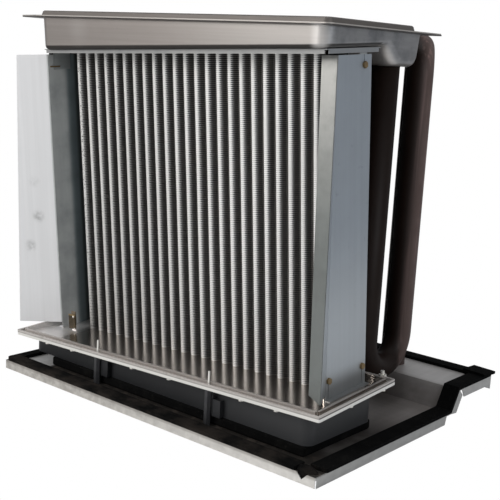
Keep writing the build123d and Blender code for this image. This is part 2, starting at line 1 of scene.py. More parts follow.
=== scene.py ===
# %% [markdown]
# # A condensing furnace's heat exchanger
# Sheet metal, a rippled block of fins, bent steel tubes and foam strips, dressed around the
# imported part. Every length is in metres, in the part's own frame. Places are read from the
# part's boxes and mounts where these give them, and otherwise repeat the part's own sizes.

# %% Tools and the frame
import json
import math
from functools import reduce

import bmesh
import bpy
from mathutils import Matrix, Vector, noise


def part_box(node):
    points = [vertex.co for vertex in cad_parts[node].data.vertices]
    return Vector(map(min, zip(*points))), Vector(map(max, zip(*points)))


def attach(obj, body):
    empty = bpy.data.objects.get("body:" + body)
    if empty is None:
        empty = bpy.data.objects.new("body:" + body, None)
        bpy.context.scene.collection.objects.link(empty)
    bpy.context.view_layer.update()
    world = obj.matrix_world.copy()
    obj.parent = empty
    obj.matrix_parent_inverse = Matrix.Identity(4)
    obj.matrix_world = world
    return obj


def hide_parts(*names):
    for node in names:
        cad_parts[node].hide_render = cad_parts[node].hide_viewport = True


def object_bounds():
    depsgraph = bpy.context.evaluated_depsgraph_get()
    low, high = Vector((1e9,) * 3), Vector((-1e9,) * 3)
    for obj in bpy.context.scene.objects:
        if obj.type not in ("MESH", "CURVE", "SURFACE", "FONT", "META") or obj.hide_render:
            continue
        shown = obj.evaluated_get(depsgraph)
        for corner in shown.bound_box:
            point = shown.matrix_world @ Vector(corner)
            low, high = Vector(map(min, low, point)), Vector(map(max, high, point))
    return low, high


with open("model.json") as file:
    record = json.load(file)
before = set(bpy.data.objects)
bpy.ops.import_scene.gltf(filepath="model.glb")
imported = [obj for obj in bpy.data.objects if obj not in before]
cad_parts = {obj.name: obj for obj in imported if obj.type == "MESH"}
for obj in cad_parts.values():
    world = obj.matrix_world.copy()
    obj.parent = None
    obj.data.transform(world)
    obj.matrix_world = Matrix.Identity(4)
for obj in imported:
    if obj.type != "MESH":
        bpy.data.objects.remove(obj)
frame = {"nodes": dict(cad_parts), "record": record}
nodes = frame["nodes"]
cad_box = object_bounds()
print("nodes:", sorted(nodes))

# %% [markdown]
# The coil, its tube sheets and its baffles lean a few degrees on the real product, so that
# condensate runs to the collector. One matrix carries the coil's own square axes to the part's.

# %% The coil's own axes
coil_datum = Vector((-0.0142, -0.107, 0.0555))
side_degrees = -2.17
forward_degrees = 3.46
lean_side = Matrix.Rotation(math.radians(side_degrees), 4, "Y")
lean_forward = Matrix.Rotation(math.radians(forward_degrees), 4, "X")
coil_axes = Matrix.Translation(coil_datum) @ lean_side @ lean_forward
coil_turn = (lean_side @ lean_forward).to_euler()
print("coil leans", [round(math.degrees(a), 2) for a in coil_turn])

# %% [markdown]
# ## Camera, floor and light
# A long lens from the front right, a little above the header, with a slight roll.

# %% Camera
camera_place = Vector((0.9415, -1.1414, 0.4937))
camera_data = bpy.data.cameras.new("camera")
camera_data.sensor_width = 36.0
camera_data.lens = 71.1
camera = bpy.data.objects.new("camera", camera_data)
bpy.context.collection.objects.link(camera)
azimuth = math.radians(39.6)
elevation = math.radians(-11.07)
roll = math.radians(3.19)
forward = Vector(
    (
        -math.sin(azimuth) * math.cos(elevation),
        math.cos(azimuth) * math.cos(elevation),
        math.sin(elevation),
    )
)
level = Vector((math.cos(azimuth), math.sin(azimuth), 0))
upward = level.cross(forward)
right = level * math.cos(roll) + upward * math.sin(roll)
above = right.cross(forward)
turn = Matrix((right, above, -forward)).transposed().to_4x4()
camera.matrix_world = Matrix.Translation(camera_place) @ turn
bpy.context.scene.camera = camera
print("lens", camera_data.lens)

# %% [markdown]
# To the camera the floor and the world are plain white. What the object mirrors, and what
# lights it, is a pale floor under a soft, slightly blue sky.


# %% Studio
def white_to_camera(tree, seen, lit):
    """Shows seen to rays from the camera, straight or through glass, and lit to all others."""
    path = tree.nodes.new("ShaderNodeLightPath")
    either = tree.nodes.new("ShaderNodeMath")
    either.operation = "MAXIMUM"
    tree.links.new(path.outputs["Is Camera Ray"], either.inputs[0])
    tree.links.new(path.outputs["Is Transmission Ray"], either.inputs[1])
    mix = tree.nodes.new("ShaderNodeMixShader")
    tree.links.new(either.outputs[0], mix.inputs["Fac"])
    tree.links.new(lit, mix.inputs[1])
    tree.links.new(seen, mix.inputs[2])
    return mix


scene = bpy.context.scene
scene.view_settings.view_transform = "Standard"
world = bpy.data.worlds.new("studio")
scene.world = world
world.use_nodes = True
sky = world.node_tree
sky.nodes.clear()
sky_output = sky.nodes.new("ShaderNodeOutputWorld")
soft_sky = sky.nodes.new("ShaderNodeBackground")
soft_sky.inputs["Color"].default_value = (0.93, 0.96, 1.0, 1)
soft_sky.inputs["Strength"].default_value = 0.36
white_sky = sky.nodes.new("ShaderNodeBackground")
white_sky.inputs["Color"].default_value = (1, 1, 1, 1)
sky_mix = white_to_camera(sky, white_sky.outputs[0], soft_sky.outputs[0])
sky.links.new(sky_mix.outputs[0], sky_output.inputs["Surface"])

floor_level = cad_box[0][2]
floor_half_width = 6
floor_mesh = bpy.data.meshes.new("floor")
floor_shape = bmesh.new()
bmesh.ops.create_grid(
    floor_shape,
    x_segments=1,
    y_segments=1,
    size=floor_half_width,
    matrix=Matrix.Translation((0, 0, floor_level)),
)
floor_shape.to_mesh(floor_mesh)
floor_shape.free()
floor = bpy.data.objects.new("floor", floor_mesh)
bpy.context.collection.objects.link(floor)
floor_paint = bpy.data.materials.new("pale_floor")
floor_paint.use_nodes = True
floor_tree = floor_paint.node_tree
floor_tree.nodes.clear()
floor_output = floor_tree.nodes.new("ShaderNodeOutputMaterial")
floor_matte = floor_tree.nodes.new("ShaderNodeBsdfDiffuse")
floor_matte.inputs["Color"].default_value = (0.82, 0.82, 0.82, 1)
floor_white = floor_tree.nodes.new("ShaderNodeEmission")
floor_white.inputs["Color"].default_value = (1, 1, 1, 1)
floor_white.inputs["Strength"].default_value = 1.0
floor_mix = white_to_camera(floor_tree, floor_white.outputs[0], floor_matte.outputs[0])
floor_tree.links.new(floor_mix.outputs[0], floor_output.inputs["Surface"])
floor_mesh.materials.append(floor_paint)


def area_lamp(name, place, aim, size, power, tint=(1, 1, 1)):
    """A square soft light that faces a point."""
    data = bpy.data.lights.new(name, "AREA")
    data.size = size
    data.energy = power
    data.color = tint
    lamp = bpy.data.objects.new(name, data)
    bpy.context.collection.objects.link(lamp)
    direction = Vector(aim) - Vector(place)
    lamp.matrix_world = (
        Matrix.Translation(place) @ direction.to_track_quat("-Z", "Y").to_matrix().to_4x4()
    )


area_lamp("front_left_softbox", (-1.2, -2.2, 1.4), (0, 0, 0.3), 1.2, 50, (1.0, 0.985, 0.965))
area_lamp("right_softbox", (2.4, -0.6, 1.3), (0, 0, 0.25), 1.4, 20, (0.93, 0.965, 1.0))
area_lamp("top_softbox", (0.0, -0.2, 2.6), (0, 0, 0.2), 1.6, 18)

# %% [markdown]
# ## Finishes
# Most of the metal here is sheet with a drawn grain, clouded by heat and handling. One group
# gives the grain, one gives soft clouds of tone, and each material mixes them in its own way.


# %% Shader node groups
def new_group(name, inputs, outputs):
    """An empty shader node group with float or colour sockets."""
    group = bpy.data.node_groups.new(name, "ShaderNodeTree")
    for label, kind, value in inputs:
        socket = group.interface.new_socket(label, in_out="INPUT", socket_type=kind)
        if value is not None:
            socket.default_value = value
    for label, kind in outputs:
        group.interface.new_socket(label, in_out="OUTPUT", socket_type=kind)
    start = group.nodes.new("NodeGroupInput")
    end = group.nodes.new("NodeGroupOutput")
    return group, start, end


def drawn_grain_group():
    """Fine scratches along one axis: noise that is stretched by a very uneven scale."""
    group, start, end = new_group(
        "drawn_grain",
        [
            ("Vector", "NodeSocketVector", None),
            ("Stretch", "NodeSocketVector", None),
            ("Contrast", "NodeSocketFloat", 1.0),
        ],
        [("Grain", "NodeSocketFloat")],
    )
    scale = group.nodes.new("ShaderNodeVectorMath")
    scale.operation = "MULTIPLY"
    speck = group.nodes.new("ShaderNodeTexNoise")
    speck.inputs["Scale"].default_value = 1.0
    speck.inputs["Detail"].default_value = 4.0
    spread = group.nodes.new("ShaderNodeMapRange")
    spread.inputs["From Min"].default_value = 0.3
    spread.inputs["From Max"].default_value = 0.7
    lift = group.nodes.new("ShaderNodeMath")
    lift.operation = "SUBTRACT"
    lift.inputs[1].default_value = 0.5
    strength = group.nodes.new("ShaderNodeMath")
    strength.operation = "MULTIPLY"
    group.links.new(start.outputs["Vector"], scale.inputs[0])
    group.links.new(start.outputs["Stretch"], scale.inputs[1])
    group.links.new(scale.outputs[0], speck.inputs["Vector"])
    group.links.new(speck.outputs["Fac"], spread.inputs["Value"])
    group.links.new(spread.outputs["Result"], lift.inputs[0])
    group.links.new(lift.outputs[0], strength.inputs[0])
    group.links.new(start.outputs["Contrast"], strength.inputs[1])
    group.links.new(strength.outputs[0], end.inputs["Grain"])
    return group


def clouds_group():
    """Large soft patches with a finer mottle on them, from 0 to 1."""
    group, start, end = new_group(
        "clouds",
        [
            ("Vector", "NodeSocketVector", None),
            ("Size", "NodeSocketFloat", 8.0),
            ("Edge", "NodeSocketFloat", 0.5),
            ("Softness", "NodeSocketFloat", 0.25),
        ],
        [("Cloud", "NodeSocketFloat")],
    )
    patches = group.nodes.new("ShaderNodeTexNoise")
    patches.inputs["Detail"].default_value = 6.0
    patches.inputs["Roughness"].default_value = 0.6
    low = group.nodes.new("ShaderNodeMath")
    low.operation = "SUBTRACT"
    high = group.nodes.new("ShaderNodeMath")
    high.operation = "ADD"
    ramp = group.nodes.new("ShaderNodeMapRange")
    ramp.interpolation_type = "SMOOTHSTEP"
    group.links.new(start.outputs["Vector"], patches.inputs["Vector"])
    group.links.new(start.outputs["Size"], patches.inputs["Scale"])
    for node in (low, high):
        group.links.new(start.outputs["Edge"], node.inputs[0])
        group.links.new(start.outputs["Softness"], node.inputs[1])
    group.links.new(patches.outputs["Fac"], ramp.inputs["Value"])
    group.links.new(low.outputs[0], ramp.inputs["From Min"])
    group.links.new(high.outputs[0], ramp.inputs["From Max"])
    group.links.new(ramp.outputs["Result"], end.inputs["Cloud"])
    return group


drawn_grain = drawn_grain_group()
clouds = clouds_group()
print("groups:", [g.name for g in bpy.data.node_groups])

# %% [markdown]
# A small builder keeps each finish short: it starts a material with a Principled shader and
# object coordinates, and adds layers of colour over one another. A layer has a mask, a strength,
# a colour and at times a roughness. Masks are clouds, scratches, or rises along the part's axes
# or, for the pieces that lean, along the coil's.


# %% Material builder
class Finish:
    """A material under construction: its tree, its shader and its object coordinates."""

    def __init__(self, name, base, rough, metal=0.0, leans=False):
        self.material = bpy.data.materials.new(name)
        self.material.use_nodes = True
        self.tree = self.material.node_tree
        self.shader = self.tree.nodes["Principled BSDF"]
        self.shader.inputs["Metallic"].default_value = metal
        coords = self.tree.nodes.new("ShaderNodeTexCoord")
        self.square = coords.outputs["Object"]
        mapping = self.tree.nodes.new("ShaderNodeMapping")
        mapping.vector_type = "TEXTURE"
        mapping.inputs["Location"].default_value = coil_datum
        mapping.inputs["Rotation"].default_value = coil_turn
        self.tree.links.new(self.square, mapping.inputs["Vector"])
        self.leaning = mapping.outputs["Vector"]
        self.place = self.leaning if leans else self.square
        self.colour = self._constant_colour(base)
        self.rough = self._constant(rough)

    def _constant(self, value):
        node = self.tree.nodes.new("ShaderNodeValue")
        node.outputs[0].default_value = value
        return node.outputs[0]

    def _constant_colour(self, value):
        node = self.tree.nodes.new("ShaderNodeRGB")
        node.outputs[0].default_value = (*value, 1)
        return node.outputs[0]

    def grain(self, stretch, contrast=1.0):
        """A mask of scratches that run along the axis with the smallest stretch."""
        node = self.tree.nodes.new("ShaderNodeGroup")
        node.node_tree = drawn_grain
        node.inputs["Stretch"].default_value = stretch
        node.inputs["Contrast"].default_value = contrast
        self.tree.links.new(self.place, node.inputs["Vector"])
        return node.outputs["Grain"]

    def cloud(self, size, edge=0.5, softness=0.2):
        """A mask of soft patches."""
        node = self.tree.nodes.new("ShaderNodeGroup")
        node.node_tree = clouds
        node.inputs["Size"].default_value = size
        node.inputs["Edge"].default_value = edge
        node.inputs["Softness"].default_value = softness
        self.tree.links.new(self.place, node.inputs["Vector"])
        return node.outputs["Cloud"]

    def _ramp(self, value, low, high):
        """A smooth rise from 0 to 1. With low above high it rises towards smaller values."""
        ramp = self.tree.nodes.new("ShaderNodeMapRange")
        ramp.interpolation_type = "SMOOTHSTEP"
        ramp.inputs["From Min"].default_value = low
        ramp.inputs["From Max"].default_value = high
        self.tree.links.new(value, ramp.inputs["Value"])
        return ramp.outputs["Result"]

    def along(self, axis, low, high, place=None):
        """A mask that rises from 0 at low to 1 at high, along one axis."""
        split = self.tree.nodes.new("ShaderNodeSeparateXYZ")
        self.tree.links.new(place or self.place, split.inputs["Vector"])
        return self._ramp(split.outputs[axis], low, high)

    def slant(self, direction, low, high):
        """The same along any direction."""
        dot = self.tree.nodes.new("ShaderNodeVectorMath")
        dot.operation = "DOT_PRODUCT"
        dot.inputs[1].default_value = direction
        self.tree.links.new(self.place, dot.inputs[0])
        return self._ramp(dot.outputs["Value"], low, high)

    def spot(self, centre, radius):
        """A soft round mask about a point."""
        gap = self.tree.nodes.new("ShaderNodeVectorMath")
        gap.operation = "DISTANCE"
        gap.inputs[1].default_value = centre
        self.tree.links.new(self.place, gap.inputs[0])
        return self._ramp(gap.outputs["Value"], radius, 0.0)

    def painted(self, attribute):
        """A mask stored on the faces themselves."""
        node = self.tree.nodes.new("ShaderNodeAttribute")
        node.attribute_name = attribute
        return node.outputs["Fac"]

    def dull(self, level):
        """Weakens the mirror part of a painted, moulded or foam surface."""
        self.shader.inputs["Specular IOR Level"].default_value = level

    def _product(self, first, second):
        """One mask times another, or times a number."""
        node = self.tree.nodes.new("ShaderNodeMath")
        node.operation = "MULTIPLY"
        self.tree.links.new(first, node.inputs[0])
        if isinstance(second, float):
            node.inputs[1].default_value = second
        else:
            self.tree.links.new(second, node.inputs[1])
        return node.outputs[0]

    def times(self, *masks):
        """The mask that is left where several masks meet."""
        return reduce(self._product, masks)

    def layer(self, mask, strength, colour, rough=None):
        """Paints a colour, and a roughness if given, over what is there."""
        cover = self._product(mask, strength)
        mix = self.tree.nodes.new("ShaderNodeMix")
        mix.data_type = "RGBA"
        self.tree.links.new(cover, mix.inputs["Factor"])
        self.tree.links.new(self.colour, mix.inputs["A"])
        mix.inputs["B"].default_value = (*colour, 1)
        self.colour = mix.outputs["Result"]
        if rough is not None:
            blend = self.tree.nodes.new("ShaderNodeMix")
            self.tree.links.new(cover, blend.inputs["Factor"])
            self.tree.links.new(self.rough, blend.inputs["A"])
            blend.inputs["B"].default_value = rough
            self.rough = blend.outputs["Result"]

    def shade(self, grain, amount):
        """Brightens and darkens the colour by a signed grain."""
        gain = self.tree.nodes.new("ShaderNodeMath")
        gain.operation = "MULTIPLY_ADD"
        gain.inputs[1].default_value = amount
        gain.inputs[2].default_value = 1.0
        self.tree.links.new(grain, gain.inputs[0])
        scale = self.tree.nodes.new("ShaderNodeVectorMath")
        scale.operation = "SCALE"
        self.tree.links.new(self.colour, scale.inputs[0])
        self.tree.links.new(gain.outputs[0], scale.inputs["Scale"])
        self.colour = scale.outputs[0]

    def bump(self, height, strength, distance):
        """Raises the surface by a mask."""
        node = self.tree.nodes.new("ShaderNodeBump")
        node.inputs["Strength"].default_value = strength
        node.inputs["Distance"].default_value = distance
        self.tree.links.new(height, node.inputs["Height"])
        self.tree.links.new(node.outputs["Normal"], self.shader.inputs["Normal"])

    def done(self):
        """Connects the layers and hands over the material."""
        self.tree.links.new(self.colour, self.shader.inputs["Base Color"])
        self.tree.links.new(self.rough, self.shader.inputs["Roughness"])
        return self.material


# %% [markdown]
# ## The sheet metals
# The header is stainless that the flame has toned to a warm taupe. The tube sheets are the same
# steel, but cleaner, so they mirror the fins. The panel and baffles are zinc-coated.


# %% Sheet metal finishes
def taupe_stainless():
    """The header: warm grey, brushed across, painted lighter to the right, cooler where the flame
    has toned its right end.
    """
    f = Finish("taupe_stainless", (0.31, 0.28, 0.26), 0.36, 0.85)
    f.layer(f.cloud(9.0, 0.52, 0.2), 0.5, (0.235, 0.21, 0.195), 0.42)
    # painted light: lighter towards the right, as a broad highlight
    f.layer(f.along("X", -0.1, 0.22), 0.6, (0.52, 0.495, 0.47), 0.33)
    f.layer(f.along("X", 0.232, 0.2405), 0.85, (0.27, 0.275, 0.285), 0.4)
    toned = f.times(f.along("X", 0.236, 0.2405), f.cloud(24.0, 0.55, 0.15))
    f.layer(toned, 1.0, (0.17, 0.175, 0.185))
    f.layer(f.along("Y", -0.02, 0.03), 0.4, (0.34, 0.33, 0.335), 0.36)
    # painted shadow: a dark line under the shelf, where the pan sits on the coil, and one under
    # the rim
    ahead = f.along("Y", -0.05, -0.056)
    shelf_shadow = f.along("Z", 0.4520, 0.4498, f.leaning)
    f.layer(f.times(shelf_shadow, ahead), 0.95, (0.02, 0.018, 0.017), 0.6)
    f.layer(f.along("Z", 0.5340, 0.5353), 0.8, (0.07, 0.063, 0.058), 0.5)
    # a rubbed patch at the left, and a painted highlight on the rounded front right corner
    f.layer(f.spot((-0.21, -0.172, 0.519), 0.03), 0.3, (0.46, 0.43, 0.41))
    corner = f.times(f.along("X", 0.212, 0.226), f.along("X", 0.241, 0.232))
    f.layer(corner, 0.42, (0.78, 0.76, 0.74), 0.4)
    f.layer(f.cloud(150.0, 0.7, 0.06), 0.35, (0.12, 0.11, 0.10))
    f.shade(f.grain((3, 40, 260)), 0.12)
    f.bump(f.grain((3, 40, 260)), 0.05, 0.0003)
    return f.done()


def cover_stainless():
    """The header's cover: the same steel, dulled darker on top."""
    f = Finish("cover_stainless", (0.125, 0.112, 0.103), 0.42, 0.4)
    f.dull(0.2)
    f.layer(f.cloud(12.0, 0.5, 0.2), 0.5, (0.098, 0.088, 0.081), 0.46)
    # a painted highlight along the cover's folded edge
    f.layer(f.along("Z", 0.5388, 0.5383), 0.85, (0.40, 0.375, 0.35), 0.4)
    f.shade(f.grain((4, 60, 420)), 0.14)
    return f.done()


def mirror_stainless():
    """The lower tube sheet: brown-grey stainless, smooth enough to mirror the fins."""
    f = Finish("mirror_stainless", (0.56, 0.515, 0.48), 0.17, 0.97, True)
    f.layer(f.cloud(14.0, 0.5, 0.2), 0.5, (0.45, 0.41, 0.38), 0.24)
    # painted light at the left end and in the front groove, pale on the lip, brown on the ears
    # a painted reflection of the left flare, paler and rougher
    f.layer(f.along("X", -0.212, -0.24), 0.75, (0.95, 0.93, 0.92), 0.5)
    # painted light in the front groove, which lies in shade
    f.layer(f.along("Y", -0.0835, -0.0841), 0.9, (0.66, 0.62, 0.59), 0.55)
    lip = f.times(f.along("Z", 0.0064, 0.0072), f.along("Z", 0.0086, 0.0080))
    f.layer(lip, 0.95, (0.60, 0.56, 0.53), 0.5)
    f.layer(f.along("Z", 0.0085, 0.0105), 0.9, (0.16, 0.115, 0.06), 0.45)
    f.shade(f.grain((6, 300, 300)), 0.1)
    return f.done()


def bright_rim():
    """The frame's lips: off-white zinc with a light soil."""
    f = Finish("bright_rim", (0.46, 0.43, 0.405), 0.42, 0.3, True)
    f.layer(f.cloud(60.0, 0.62, 0.1), 0.6, (0.34, 0.315, 0.285), 0.5)
    f.layer(f.along("Z", 0.0024, 0.0016), 0.95, (0.68, 0.665, 0.63), 0.42)
    # painted shade: a thin dark line between the lips, where their vertical face is shaded,
    # strongest on the right side
    line = f.times(f.along("Z", 0.0037, 0.0031), f.along("Z", 0.0014, 0.0020))
    f.layer(line, 0.35, (0.08, 0.072, 0.066))
    f.layer(f.times(line, f.along("X", 0.2985, 0.2998)), 0.85, (0.05, 0.045, 0.042))
    f.shade(f.grain((5, 5, 300)), 0.1)
    return f.done()


def pale_sheet():
    """The upper tube sheet's narrow flange."""
    f = Finish("pale_sheet", (0.27, 0.27, 0.265), 0.42, 0.5, True)
    f.layer(f.cloud(40.0, 0.55, 0.15), 0.5, (0.20, 0.205, 0.205), 0.45)
    f.layer(f.along("X", 0.2645, 0.2660), 0.7, (0.24, 0.25, 0.265), 0.45)
    # painted light on the turned-down ears, which sit in shade
    f.layer(f.along("Z", 0.4385, 0.4375), 1.0, (0.36, 0.38, 0.375), 0.45)
    f.shade(f.grain((8, 8, 200)), 0.12)
    return f.done()


def baffle_zinc():
    """The right baffle: cool blue-grey sheet, with a greener front flange, soil and a painted
    dark reflection low down.
    """
    f = Finish("baffle_zinc", (0.285, 0.315, 0.35), 0.42, 0.45, True)
    f.layer(f.cloud(12.0, 0.55, 0.18), 0.35, (0.245, 0.265, 0.29), 0.5)
    f.layer(f.cloud(70.0, 0.68, 0.07), 0.4, (0.17, 0.18, 0.19), 0.55)
    f.layer(f.times(f.along("Z", 0.10, 0.0), f.cloud(26.0, 0.5, 0.2)), 0.5, (0.20, 0.20, 0.20))
    f.layer(f.along("Z", 0.24, 0.08), 0.7, (0.43, 0.455, 0.475), 0.42)
    # a painted dark reflection along the foot
    f.layer(f.along("Z", 0.040, 0.012), 0.6, (0.13, 0.125, 0.115), 0.36)
    # the front flange narrows towards its foot, so its mask is slanted
    flange = f.slant((0, 1, -0.1379), -0.0667, -0.0673)
    f.layer(flange, 0.95, (0.135, 0.145, 0.137), 0.38)
    f.layer(f.times(flange, f.along("Z", 0.18, 0.42)), 0.85, (0.275, 0.272, 0.258), 0.42)
    f.layer(f.times(flange, f.cloud(30.0, 0.55, 0.15)), 0.4, (0.10, 0.105, 0.10))
    f.shade(f.grain((120, 120, 3)), 0.07)
    return f.done()


def flare_zinc():
    """The left baffle: pale where it flares out to the light; darker and speckled on the wall
    against the fins, with painted light and shade.
    """
    f = Finish("flare_zinc", (0.60, 0.60, 0.605), 0.6, 0.0, True)
    f.layer(f.cloud(16.0, 0.55, 0.2), 0.12, (0.52, 0.52, 0.525))
    # three rubbed marks on the flare
    mottle = f.cloud(120.0, 0.48, 0.2)
    for centre, radius, strength, tone in (
        ((-0.2912, -0.0417, 0.184), 0.013, 0.9, 0.22),
        ((-0.3047, -0.0504, 0.136), 0.013, 0.8, 0.26),
        ((-0.2946, -0.0439, 0.24), 0.012, 0.5, 0.33),
    ):
        f.layer(f.times(f.spot(centre, radius), mottle), strength, (tone, tone, tone))
    # the flat wall against the fins, darker about its middle: a painted highlight band, then
    # painted shade that grows nearly black deeper in
    inner = f.along("X", -0.2685, -0.2660)
    f.layer(inner, 0.97, (0.36, 0.37, 0.362), 0.36)
    darker_middle = f.times(inner, f.spot((-0.266, -0.012, 0.25), 0.2))
    f.layer(darker_middle, 0.4, (0.26, 0.27, 0.265), 0.36)
    f.layer(f.times(inner, f.along("Y", -0.014, 0.002)), 0.5, (0.50, 0.515, 0.50), 0.38)
    f.layer(f.times(inner, f.along("Y", 0.003, 0.014)), 0.9, (0.15, 0.19, 0.20), 0.4)
    f.layer(f.times(inner, f.along("Y", 0.022, 0.028)), 0.9, (0.03, 0.034, 0.032), 0.5)
    f.layer(f.times(inner, f.cloud(20.0, 0.55, 0.15)), 0.35, (0.09, 0.105, 0.11), 0.4)
    f.shade(f.grain((160, 160, 3)), 0.07)
    return f.done()


def panel_zinc():
    """The panel: dull galvanised sheet, brown with soil on top, brighter on its edges, with
    painted shade near the coil.
    """
    f = Finish("panel_zinc", (0.20, 0.187, 0.175), 0.42, 0.6)
    f.layer(f.cloud(11.0, 0.5, 0.22), 0.55, (0.13, 0.12, 0.112), 0.5)
    f.layer(f.cloud(60.0, 0.6, 0.12), 0.4, (0.28, 0.262, 0.245))
    # lighter towards the back and on the raised part; painted shade in front, near the coil and
    # the collector, and a painted shadow of the coil in a patch at the right
    f.layer(f.along("Y", -0.14, -0.02), 0.6, (0.32, 0.29, 0.275))
    f.layer(f.along("Y", 0.115, 0.14), 0.9, (0.55, 0.53, 0.515))
    f.layer(f.along("Y", 0.07, -0.07), 0.85, (0.055, 0.047, 0.042), 0.5)
    f.layer(f.spot((0.175, 0.085, 0.0), 0.10), 0.9, (0.075, 0.062, 0.056), 0.5)
    f.layer(f.cloud(9.0, 0.56, 0.1), 0.25, (0.48, 0.455, 0.43))
    # darker along the front, with soil mottled on it, but not at the bare left end, which has a
    # painted reflection of the sky
    front_dark_band = f.along("Y", -0.14, -0.185)
    f.layer(front_dark_band, 0.95, (0.024, 0.021, 0.018), 0.6)
    f.layer(f.times(front_dark_band, f.cloud(48.0, 0.56, 0.08)), 0.57, (0.11, 0.09, 0.075), 0.6)
    bare_sky_reflection = f.times(f.along("X", -0.232, -0.240), f.along("Y", -0.206, -0.204))
    f.layer(bare_sky_reflection, 0.95, (0.62, 0.61, 0.60), 0.4)
    # the front flange and the right flange
    low_edge = f.along("Y", -0.2235, -0.2245)
    f.layer(low_edge, 0.97, (0.36, 0.34, 0.315), 0.45)
    f.layer(f.times(low_edge, f.along("X", -0.25, 0.3)), 0.9, (0.66, 0.64, 0.61), 0.42)
    f.layer(f.times(low_edge, f.cloud(90.0, 0.5, 0.12)), 0.35, (0.70, 0.68, 0.64))
    f.layer(f.times(low_edge, f.along("Z", -0.004, 0.0)), 0.5, (0.17, 0.15, 0.13), 0.5)
    right_edge = f.along("X", 0.3035, 0.3045)
    f.layer(right_edge, 0.95, (0.40, 0.395, 0.385), 0.42)
    f.shade(f.grain((90, 8, 90)), 0.14)
    f.shade(f.grain((8, 90, 90)), 0.12)
    seam = f.times(low_edge, f.along("X", 0.3046, 0.3050), f.along("Z", -0.0015, -0.0022))
    f.layer(seam, 1.0, (1.0, 1.0, 1.0), 0.6)
    f.bump(f.cloud(140.0, 0.5, 0.3), 0.12, 0.0005)
    return f.done()


finishes = {}
for build in (
    taupe_stainless,
    cover_stainless,
    mirror_stainless,
    bright_rim,
    pale_sheet,
    baffle_zinc,
    flare_zinc,
    panel_zinc,
):
    finishes[build.__name__] = build()
print("sheet finishes:", sorted(finishes))

# %% [markdown]
# ## Tubes, fins, foam and plastic


# %% Other finishes
def burnt_tube():
    """The primary tubes: dark brown aluminised steel with reddish heat streaks, and painted light
    on the outer right side.
    """
    f = Finish("burnt_tube", (0.0085, 0.0047, 0.0035), 0.48, 0.0)
    f.dull(0.12)
    f.layer(f.cloud(22.0, 0.55, 0.2), 0.6, (0.013, 0.0078, 0.006), 0.44)
    # painted light on the outer right side, which the lamp reaches; the heat streaks show there
    lit_outer_side = f.slant((0.77, 0.637, 0), 0.218, 0.238)
    f.layer(lit_outer_side, 0.9, (0.105, 0.074, 0.067), 0.42)
    f.layer(f.times(lit_outer_side, f.grain((160, 160, 4), 1.6)), 0.8, (0.25, 0.165, 0.152))
    f.layer(f.times(lit_outer_side, f.cloud(26.0, 0.5, 0.12)), 0.5, (0.065, 0.044, 0.039))
    f.bump(f.cloud(160.0, 0.5, 0.3), 0.1, 0.0004)
    return f.done()


def fin_aluminium():
    """The fins: bright edges in front, with painted shade that greys their flanks and blackens
    them further in, where there is dust.
    """
    f = Finish("fin_aluminium", (0.80, 0.79, 0.77), 0.42, 0.2, True)
    # painted shade: grey as the flanks recede into the valleys
    f.layer(f.along("Y", 0.0010, 0.0032), 0.85, (0.27, 0.265, 0.257), 0.5)
    # painted shade: darker towards the left, where the light falls off
    f.layer(f.along("X", 0.08, -0.16), 0.45, (0.17, 0.165, 0.158))
    # painted shade, nearly black in the valleys, where the thin edges of the fins are painted a
    # little lighter
    valley_shade = f.along("Y", 0.0026, 0.0062)
    left_shade = f.along("X", 0.05, -0.20)
    f.layer(valley_shade, 0.97, (0.022, 0.021, 0.0195), 0.6)
    f.layer(f.times(valley_shade, f.painted("fin_edge")), 0.9, (0.125, 0.117, 0.108), 0.5)
    f.layer(f.times(valley_shade, left_shade), 0.5, (0.03, 0.0275, 0.025), 0.5)
    f.layer(f.cloud(120.0, 0.66, 0.06), 0.35, (0.30, 0.27, 0.235), 0.5)
    near_left = f.times(f.along("X", -0.165, -0.215), f.cloud(230.0, 0.66, 0.03))
    f.layer(near_left, 0.9, (0.03, 0.028, 0.026), 0.6)
    return f.done()


def crest_aluminium():
    """The fins' folded front collars: a soft bright band, nicked at the left end of the coil,
    with painted shade low, left and at its edges.
    """
    f = Finish("crest_aluminium", (0.63, 0.62, 0.60), 0.46, 0.3, True)
    # painted shade: darker low down, and more so low at the left, where the light falls off
    f.layer(f.along("Z", 0.36, 0.06), 0.6, (0.47, 0.46, 0.445))
    low_left_shade = f.times(f.along("Z", 0.25, 0.0), f.along("X", 0.06, -0.18))
    f.layer(low_left_shade, 0.6, (0.24, 0.225, 0.205))
    # painted shade at the band's edges, which turn away from the light
    f.layer(f.along("Y", 0.0003, 0.0012), 0.75, (0.29, 0.285, 0.278), 0.5)
    upper_left = f.times(f.along("X", -0.10, -0.18), f.along("Z", 0.30, 0.38))
    f.layer(f.times(upper_left, f.cloud(200.0, 0.63, 0.02)), 1.0, (0.012, 0.011, 0.01), 0.7)
    # the crest at the very left is torn
    first = f.along("X", -0.2165, -0.2185)
    f.layer(f.times(first, f.cloud(330.0, 0.56, 0.02)), 1.0, (0.012, 0.011, 0.01), 0.7)
    f.layer(f.cloud(150.0, 0.68, 0.05), 0.4, (0.26, 0.23, 0.19))
    f.shade(f.grain((2, 2, 900)), 0.3)
    return f.done()


def fin_shadow():
    """What lies between the fins: dark, so that their gaps read as depth."""
    f = Finish("fin_shadow", (0.010, 0.0095, 0.009), 0.8, 0.0, True)
    f.layer(f.cloud(30.0, 0.5, 0.3), 0.5, (0.018, 0.017, 0.015))
    return f.done()


